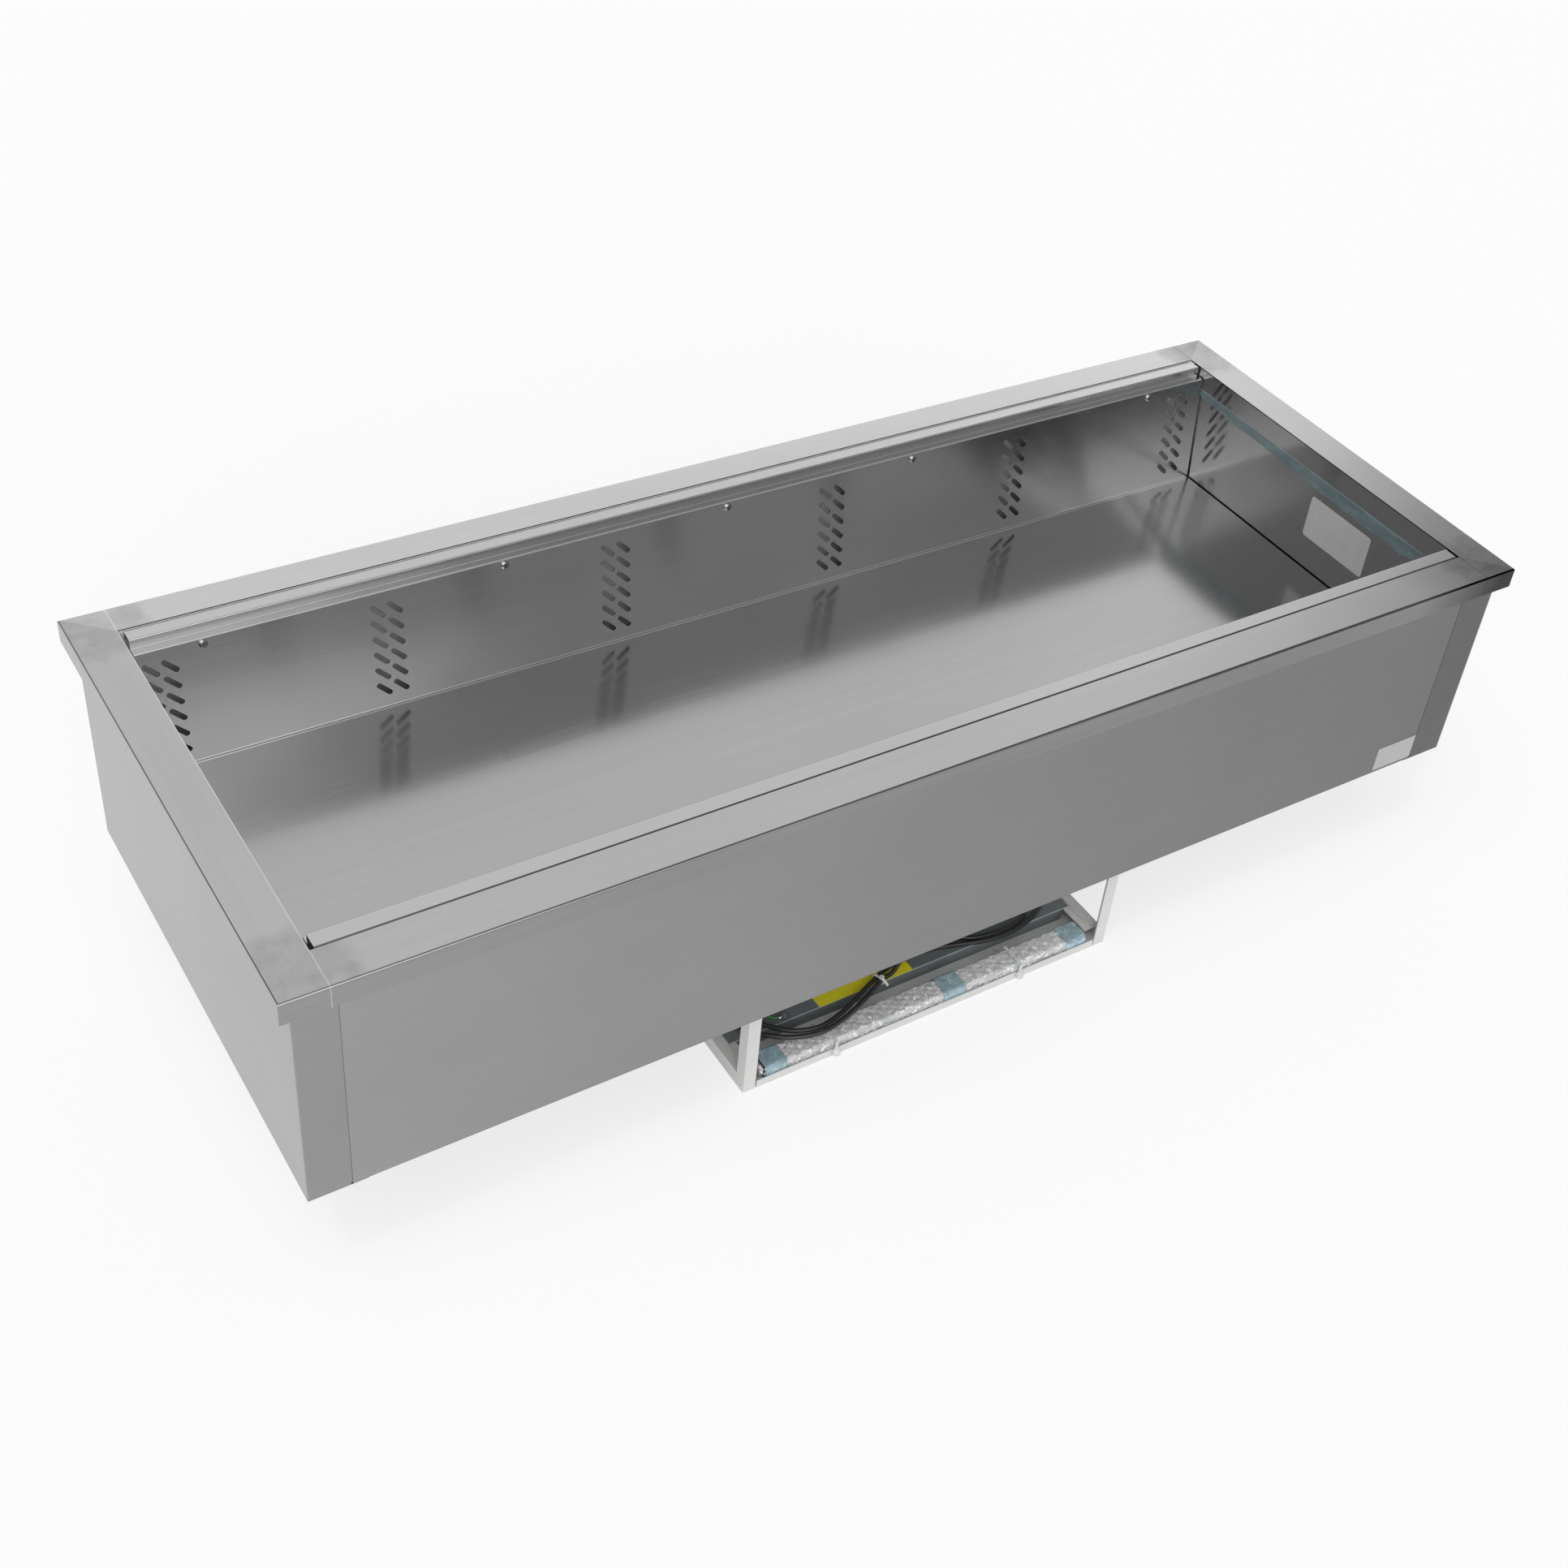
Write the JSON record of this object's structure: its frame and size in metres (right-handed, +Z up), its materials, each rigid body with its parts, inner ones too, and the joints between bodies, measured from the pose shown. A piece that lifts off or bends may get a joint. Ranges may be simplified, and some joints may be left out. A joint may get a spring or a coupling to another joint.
{
  "type": "refrigerated drop-in well",
  "caption": "Long insulated refrigerated drop-in well with a flat rim, slotted cold-air ducts, lift-out floor, drain valve and a cooling unit in a frame below.",
  "frame": {"origin": "on the floor, under the middle of the rim", "axes": "+X along the length to the right end, +Y to the back, +Z up; the side with the controls and the cable faces -Y"},
  "size_m": [1.77, 0.69, 0.5],
  "materials": {
    "stainless": "brushed stainless sheet",
    "zinc_sheet": "zinc-coated sheet",
    "foam": "cut polyurethane foam",
    "white_label": "printed film with its print left out",
    "blue_film": "torn protective film",
    "fin_aluminium": "thin plate",
    "copper": "drawn copper tube",
    "black_plastic": "moulded",
    "pipe_steel": "turned",
    "valve_brass": "cast and machined",
    "red_plastic": "dipped",
    "white_paint": "satin powder coat",
    "slate_paint": "satin powder coat",
    "black_paint": "semi-gloss enamel",
    "yellow_film": "plain sticker",
    "rubber": "moulded",
    "grey_paint": "satin powder coat",
    "black_gloss": "moulded",
    "grey_plastic": "moulded",
    "green_plastic": "moulded, translucent",
    "lead_rubber": "cable sheath",
    "white_plastic": "moulded nylon",
    "green_wire": "wire sheath",
    "bubble_film": "air-bubble wrapping",
    "blue_tape": "packing tape"
  },
  "bodies": {
    "well": {"rim_front": "stainless", "rim_right": "stainless", "rim_back": "stainless", "rim_left": "stainless", "casing_front": "stainless", "casing_back": "stainless", "casing_end_left": "stainless", "casing_end_right": "stainless", "casing_bottom": "zinc_sheet", "foam_core": "foam", "tank": "stainless", "duct_back": "stainless", "duct_front": "stainless", "duct_brackets": "zinc_sheet", "duct_screws": "pipe_steel", "rating_label": "white_label", "front_sticker": "white_label", "film_strip": "blue_film", "fan_bulkhead": "zinc_sheet", "evaporator_fins": "fin_aluminium", "evaporator_tubes": "copper", "fan_frames": "black_plastic", "drain_spigot": "pipe_steel", "drain_valve": "valve_brass", "frame_left": "white_paint", "frame_right": "white_paint", "base_tray": "white_paint", "unit_base": "slate_paint", "unit_sticker": "yellow_film", "compressor": "black_paint", "compressor_cover": "black_plastic", "compressor_mounts": "rubber", "condenser_fins": "fin_aluminium", "condenser_tubes": "copper", "condenser_shroud": "zinc_sheet", "condenser_motor": "black_paint", "filter_drier": "copper", "refrigerant_lines": "copper", "control_box": "grey_paint", "controller": "black_gloss", "mains_gland": "black_plastic", "mains_lead": "lead_rubber", "lead_coil": "lead_rubber", "plug": "lead_rubber", "cable_tie": "white_plastic", "earth_wire": "green_wire", "divider_bars": "stainless", "bubble_wrap": "bubble_film", "tape_bands": "blue_tape", "bundle_ties": "white_plastic"},
    "lift_out_floor": {"floor_pan": "stainless"},
    "left_fan": {"fan_rotor_left": "black_plastic"},
    "middle_fan": {"fan_rotor_middle": "black_plastic"},
    "right_fan": {"fan_rotor_right": "black_plastic"},
    "unit_fan": {"condenser_fan": "fin_aluminium"},
    "drain_handle": {"drain_lever": "red_plastic"},
    "set_key": {"key_set": "grey_plastic"},
    "up_key": {"key_up": "grey_plastic"},
    "down_key": {"key_down": "grey_plastic"},
    "rocker": {"power_rocker": "green_plastic"}
  },
  "joints": [
    {"name": "floor_lift", "type": "slide", "parent": "well", "child": "lift_out_floor", "axis": [0, 0, 1], "range_m": [0, 0.2]},
    {"name": "left_fan_spin", "type": "hinge", "parent": "well", "child": "left_fan", "pos_m": [-0.42, 0.1437, 0.264], "axis": [0, 1, 0], "continuous": true},
    {"name": "middle_fan_spin", "type": "hinge", "parent": "well", "child": "middle_fan", "pos_m": [0, 0.1437, 0.264], "axis": [0, 1, 0], "continuous": true},
    {"name": "right_fan_spin", "type": "hinge", "parent": "well", "child": "right_fan", "pos_m": [0.42, 0.1437, 0.264], "axis": [0, 1, 0], "continuous": true},
    {"name": "unit_fan_spin", "type": "hinge", "parent": "well", "child": "unit_fan", "pos_m": [-0.13, -0.097, 0.0915], "axis": [0, 1, 0], "continuous": true},
    {"name": "drain_turn", "type": "hinge", "parent": "well", "child": "drain_handle", "pos_m": [0.6, -0.17, 0.118], "axis": [0, 1, 0], "range_deg": [0, 90]},
    {"name": "set_key_press", "type": "slide", "parent": "well", "child": "set_key", "axis": [0, 1, 0], "range_m": [0, 0.0008], "stiffness_N_per_m": 1000},
    {"name": "up_key_press", "type": "slide", "parent": "well", "child": "up_key", "axis": [0, 1, 0], "range_m": [0, 0.0008], "stiffness_N_per_m": 1000},
    {"name": "down_key_press", "type": "slide", "parent": "well", "child": "down_key", "axis": [0, 1, 0], "range_m": [0, 0.0008], "stiffness_N_per_m": 1000},
    {"name": "rocker_tilt", "type": "hinge", "parent": "well", "child": "rocker", "pos_m": [0.208, -0.22, 0.14], "axis": [1, 0, 0], "range_deg": [0, 16]}
  ]
}
